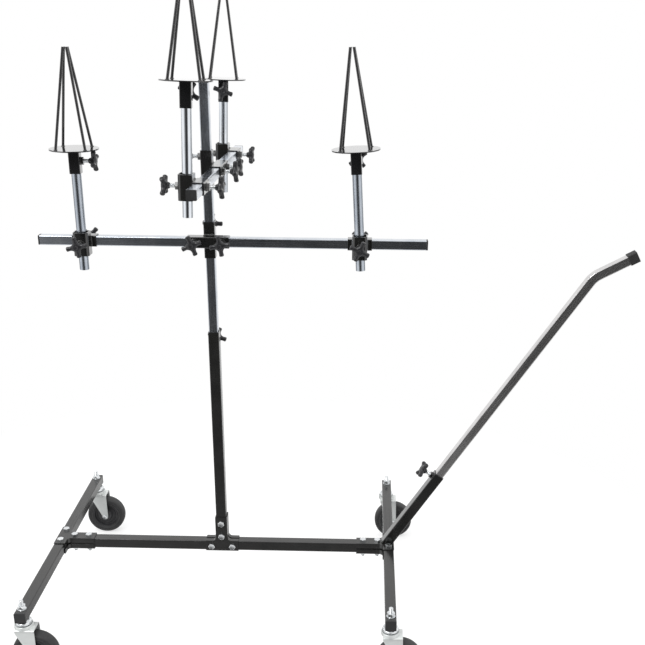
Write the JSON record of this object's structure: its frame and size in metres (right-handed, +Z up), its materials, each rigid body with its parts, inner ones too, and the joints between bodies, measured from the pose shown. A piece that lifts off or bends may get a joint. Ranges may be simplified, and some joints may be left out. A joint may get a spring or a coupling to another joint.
{
  "type": "wheel rim painting stand",
  "caption": "Mobile finishing stand: H base on swivel casters, telescopic square mast, adjustable crossbars with cone-shaped rim holders on posts, clamp knobs and a push handle.",
  "frame": {"origin": "on the floor under the mast's axis", "axes": "+Z up along the mast, +X along the base beam towards the push handle, +Y towards the mast lock knob"},
  "size_m": [1.674, 0.8281, 1.7927],
  "materials": {
    "black_paint": "glossy black paint over steel",
    "zinc_tube": "bright zinc-plated square tube",
    "chromed_tube": "polished bright plated round tube",
    "zinc_steel": "bright zinc-plated pressings, bolts and nuts",
    "wheel_rubber": "satin dark rubber tyre on a plastic hub",
    "knob_plastic": "satin black moulded plastic",
    "cap_plastic": "satin black plastic",
    "cap_rubber": "matt black rubber"
  },
  "bodies": {
    "frame": {"left_leg": "black_paint", "right_leg": "black_paint", "main_beam": "black_paint", "outer_mast": "black_paint", "handle_socket": "black_paint", "joint_plates": "black_paint", "frame_bolts": "zinc_steel", "leg_end_caps": "cap_plastic", "caster_stems": "zinc_steel", "swivel_bearings": "zinc_steel"},
    "inner_mast": {"inner_mast": "zinc_tube", "mast_cap": "cap_plastic"},
    "lower_mast_clamp": {"lower_mast_clamp": "black_paint"},
    "upper_mast_clamp": {"upper_mast_clamp": "black_paint"},
    "lower_bar": {"lower_bar": "zinc_tube", "lower_bar_caps": "cap_plastic"},
    "upper_bar": {"upper_bar": "zinc_tube", "upper_bar_caps": "cap_plastic"},
    "handle": {"handle_tube": "zinc_tube", "handle_cap": "cap_rubber"},
    "left_post_clamp": {"left_post_clamp": "black_paint"},
    "right_post_clamp": {"right_post_clamp": "black_paint"},
    "front_post_clamp": {"front_post_clamp": "black_paint"},
    "back_post_clamp": {"back_post_clamp": "black_paint"},
    "left_post": {"left_post": "chromed_tube"},
    "right_post": {"right_post": "chromed_tube"},
    "front_post": {"front_post": "chromed_tube"},
    "back_post": {"back_post": "chromed_tube"},
    "left_rim_holder": {"left_rim_holder": "black_paint"},
    "right_rim_holder": {"right_rim_holder": "black_paint"},
    "front_rim_holder": {"front_rim_holder": "black_paint"},
    "back_rim_holder": {"back_rim_holder": "black_paint"},
    "fork_front_left": {"fork_front_left": "zinc_steel"},
    "wheel_front_left": {"wheel_front_left": "wheel_rubber"},
    "fork_front_right": {"fork_front_right": "zinc_steel"},
    "wheel_front_right": {"wheel_front_right": "wheel_rubber"},
    "fork_back_left": {"fork_back_left": "zinc_steel"},
    "wheel_back_left": {"wheel_back_left": "wheel_rubber"},
    "fork_back_right": {"fork_back_right": "zinc_steel"},
    "wheel_back_right": {"wheel_back_right": "wheel_rubber"},
    "knob_mast_lock": {"knob_mast_lock": "knob_plastic"},
    "knob_handle": {"knob_handle": "knob_plastic"},
    "knob_lower_mast": {"knob_lower_mast": "knob_plastic"},
    "knob_lower_bar_a": {"knob_lower_bar_a": "knob_plastic"},
    "knob_lower_bar_b": {"knob_lower_bar_b": "knob_plastic"},
    "knob_upper_mast": {"knob_upper_mast": "knob_plastic"},
    "knob_upper_bar_a": {"knob_upper_bar_a": "knob_plastic"},
    "knob_upper_bar_b": {"knob_upper_bar_b": "knob_plastic"},
    "knob_left_post": {"knob_left_post": "knob_plastic"},
    "knob_left_bar": {"knob_left_bar": "knob_plastic"},
    "knob_left_holder": {"knob_left_holder": "knob_plastic"},
    "knob_right_post": {"knob_right_post": "knob_plastic"},
    "knob_right_bar": {"knob_right_bar": "knob_plastic"},
    "knob_right_holder": {"knob_right_holder": "knob_plastic"},
    "knob_front_post": {"knob_front_post": "knob_plastic"},
    "knob_front_bar": {"knob_front_bar": "knob_plastic"},
    "knob_front_holder": {"knob_front_holder": "knob_plastic"},
    "knob_back_post": {"knob_back_post": "knob_plastic"},
    "knob_back_bar": {"knob_back_bar": "knob_plastic"},
    "knob_back_holder": {"knob_back_holder": "knob_plastic"}
  },
  "joints": [
    {"name": "mast_lift", "type": "slide", "parent": "frame", "child": "inner_mast", "axis": [0, 0, 1], "range_m": [-0.12, 0.1]},
    {"name": "lower_clamp_lift", "type": "slide", "parent": "inner_mast", "child": "lower_mast_clamp", "axis": [0, 0, 1], "range_m": [-0.08, 0.05]},
    {"name": "upper_clamp_lift", "type": "slide", "parent": "inner_mast", "child": "upper_mast_clamp", "axis": [0, 0, 1], "range_m": [-0.04, 0.15]},
    {"name": "lower_bar_slide", "type": "slide", "parent": "lower_mast_clamp", "child": "lower_bar", "axis": [1, 0, 0], "range_m": [-0.06, 0.06]},
    {"name": "upper_bar_slide", "type": "slide", "parent": "upper_mast_clamp", "child": "upper_bar", "axis": [0.0244, 0.9997, 0], "range_m": [-0.08, 0.08]},
    {"name": "left_clamp_slide", "type": "slide", "parent": "lower_bar", "child": "left_post_clamp", "axis": [1, 0, 0], "range_m": [-0.08, 0.06]},
    {"name": "right_clamp_slide", "type": "slide", "parent": "lower_bar", "child": "right_post_clamp", "axis": [1, 0, 0], "range_m": [-0.1, 0.14]},
    {"name": "front_clamp_slide", "type": "slide", "parent": "upper_bar", "child": "front_post_clamp", "axis": [0.0244, 0.9997, 0], "range_m": [-0.07, 0.08]},
    {"name": "back_clamp_slide", "type": "slide", "parent": "upper_bar", "child": "back_post_clamp", "axis": [0.0244, 0.9997, 0], "range_m": [-0.08, 0.045]},
    {"name": "left_post_lift", "type": "slide", "parent": "left_post_clamp", "child": "left_post", "axis": [0, 0, 1], "range_m": [-0.14, 0.06]},
    {"name": "right_post_lift", "type": "slide", "parent": "right_post_clamp", "child": "right_post", "axis": [-0.0506, 0, 0.9987], "range_m": [-0.14, 0.06]},
    {"name": "front_post_lift", "type": "slide", "parent": "front_post_clamp", "child": "front_post", "axis": [0.0271, 0.0377, 0.9989], "range_m": [-0.14, 0.06]},
    {"name": "back_post_lift", "type": "slide", "parent": "back_post_clamp", "child": "back_post", "axis": [0.0319, 0.0184, 0.9993], "range_m": [-0.1, 0.1]},
    {"name": "handle_slide", "type": "slide", "parent": "frame", "child": "handle", "axis": [0.5446, 0, 0.8387], "range_m": [-0.05, 0.15]},
    {"name": "left_holder_turn", "type": "hinge", "parent": "left_post", "child": "left_rim_holder", "pos_m": [-0.328, -0.06055, 1.359], "axis": [0, 0, 1], "continuous": true},
    {"name": "right_holder_turn", "type": "hinge", "parent": "right_post", "child": "right_rim_holder", "pos_m": [0.3894, -0.06055, 1.36668], "axis": [-0.0506, 0, 0.9987], "continuous": true},
    {"name": "front_holder_turn", "type": "hinge", "parent": "front_post", "child": "front_rim_holder", "pos_m": [-0.00042, -0.25089, 1.54454], "axis": [0.0271, 0.0377, 0.9989], "continuous": true},
    {"name": "back_holder_turn", "type": "hinge", "parent": "back_post", "child": "back_rim_holder", "pos_m": [0.01237, 0.26569, 1.50982], "axis": [0.0319, 0.0184, 0.9993], "continuous": true},
    {"name": "swivel_front_left", "type": "hinge", "parent": "frame", "child": "fork_front_left", "pos_m": [-0.483, -0.383, 0.15], "axis": [0, 0, 1], "continuous": true},
    {"name": "swivel_front_right", "type": "hinge", "parent": "frame", "child": "fork_front_right", "pos_m": [0.501, -0.383, 0.15], "axis": [0, 0, 1], "continuous": true},
    {"name": "swivel_back_left", "type": "hinge", "parent": "frame", "child": "fork_back_left", "pos_m": [-0.483, 0.383, 0.15], "axis": [0, 0, 1], "continuous": true},
    {"name": "swivel_back_right", "type": "hinge", "parent": "frame", "child": "fork_back_right", "pos_m": [0.501, 0.383, 0.15], "axis": [0, 0, 1], "continuous": true},
    {"name": "spin_front_left", "type": "hinge", "parent": "fork_front_left", "child": "wheel_front_left", "pos_m": [-0.458, -0.383, 0.0625], "axis": [0, 1, 0], "continuous": true},
    {"name": "spin_front_right", "type": "hinge", "parent": "fork_front_right", "child": "wheel_front_right", "pos_m": [0.526, -0.383, 0.0625], "axis": [0, 1, 0], "continuous": true},
    {"name": "spin_back_left", "type": "hinge", "parent": "fork_back_left", "child": "wheel_back_left", "pos_m": [-0.458, 0.383, 0.0625], "axis": [0, 1, 0], "continuous": true},
    {"name": "spin_back_right", "type": "hinge", "parent": "fork_back_right", "child": "wheel_back_right", "pos_m": [0.526, 0.383, 0.0625], "axis": [0, 1, 0], "continuous": true},
    {"name": "turn_knob_mast_lock", "type": "hinge", "parent": "frame", "child": "knob_mast_lock", "pos_m": [0, 0.015, 0.825], "axis": [0, 1, 0], "range_deg": [0, 720]},
    {"name": "turn_knob_handle", "type": "hinge", "parent": "frame", "child": "knob_handle", "pos_m": [0.62339, 0, 0.42321], "axis": [-0.8387, 0, 0.5446], "range_deg": [0, 720]},
    {"name": "turn_knob_lower_mast", "type": "hinge", "parent": "lower_mast_clamp", "child": "knob_lower_mast", "pos_m": [0, 0.015, 1.15], "axis": [0, 1, 0], "range_deg": [0, 720]},
    {"name": "turn_knob_lower_bar_a", "type": "hinge", "parent": "lower_mast_clamp", "child": "knob_lower_bar_a", "pos_m": [-0.037, -0.045, 1.118], "axis": [0, -1, 0], "range_deg": [0, 720]},
    {"name": "turn_knob_lower_bar_b", "type": "hinge", "parent": "lower_mast_clamp", "child": "knob_lower_bar_b", "pos_m": [0.037, -0.045, 1.118], "axis": [0, -1, 0], "range_deg": [0, 720]},
    {"name": "turn_knob_upper_mast", "type": "hinge", "parent": "upper_mast_clamp", "child": "knob_upper_mast", "pos_m": [-0.015, 0.00037, 1.337], "axis": [-0.9997, 0.0244, 0], "range_deg": [0, 720]},
    {"name": "turn_knob_upper_bar_a", "type": "hinge", "parent": "upper_mast_clamp", "child": "knob_upper_bar_a", "pos_m": [0.04408, -0.03809, 1.305], "axis": [0.9997, -0.0244, 0], "range_deg": [0, 720]},
    {"name": "turn_knob_upper_bar_b", "type": "hinge", "parent": "upper_mast_clamp", "child": "knob_upper_bar_b", "pos_m": [0.04589, 0.03589, 1.305], "axis": [0.9997, -0.0244, 0], "range_deg": [0, 720]},
    {"name": "turn_knob_left_post", "type": "hinge", "parent": "left_post_clamp", "child": "knob_left_post", "pos_m": [-0.328, -0.081, 1.118], "axis": [0, -1, 0], "range_deg": [0, 720]},
    {"name": "turn_knob_left_bar", "type": "hinge", "parent": "left_post_clamp", "child": "knob_left_bar", "pos_m": [-0.328, -0.015, 1.118], "axis": [0, 1, 0], "range_deg": [0, 720]},
    {"name": "turn_knob_left_holder", "type": "hinge", "parent": "left_rim_holder", "child": "knob_left_holder", "pos_m": [-0.31401, -0.06006, 1.3305], "axis": [0.9994, 0.0349, 0], "range_deg": [0, 720]},
    {"name": "turn_knob_right_post", "type": "hinge", "parent": "right_post_clamp", "child": "knob_right_post", "pos_m": [0.402, -0.081, 1.118], "axis": [0, -1, 0], "range_deg": [0, 720]},
    {"name": "turn_knob_right_bar", "type": "hinge", "parent": "right_post_clamp", "child": "knob_right_bar", "pos_m": [0.402, -0.015, 1.118], "axis": [0, 1, 0], "range_deg": [0, 720]},
    {"name": "turn_knob_right_holder", "type": "hinge", "parent": "right_rim_holder", "child": "knob_right_holder", "pos_m": [0.3917, -0.04658, 1.33826], "axis": [0.061, 0.9981, 0.0031], "range_deg": [0, 720]},
    {"name": "turn_knob_front_post", "type": "hinge", "parent": "front_post_clamp", "child": "knob_front_post", "pos_m": [-0.02733, -0.25941, 1.30634], "axis": [-0.9994, 0.0244, 0.0262], "range_deg": [0, 720]},
    {"name": "turn_knob_front_bar", "type": "hinge", "parent": "front_post_clamp", "child": "knob_front_bar", "pos_m": [0.03863, -0.26102, 1.30461], "axis": [0.9994, -0.0244, -0.0262], "range_deg": [0, 720]},
    {"name": "turn_knob_front_holder", "type": "hinge", "parent": "front_rim_holder", "child": "knob_front_holder", "pos_m": [-0.00186, -0.23799, 1.51556], "axis": [-0.0481, 0.9982, -0.0364], "range_deg": [0, 720]},
    {"name": "turn_knob_back_post", "type": "hinge", "parent": "back_post_clamp", "child": "knob_back_post", "pos_m": [-0.01457, 0.26243, 1.3066], "axis": [-0.9992, 0.0244, 0.0314], "range_deg": [0, 720]},
    {"name": "turn_knob_back_bar", "type": "hinge", "parent": "back_post_clamp", "child": "knob_back_bar", "pos_m": [0.05138, 0.26082, 1.30453], "axis": [0.9992, -0.0244, -0.0314], "range_deg": [0, 720]},
    {"name": "turn_knob_back_holder", "type": "hinge", "parent": "back_rim_holder", "child": "knob_back_holder", "pos_m": [0.01307, 0.25126, 1.48154], "axis": [0.1155, -0.9932, 0.0146], "range_deg": [0, 720]}
  ]
}
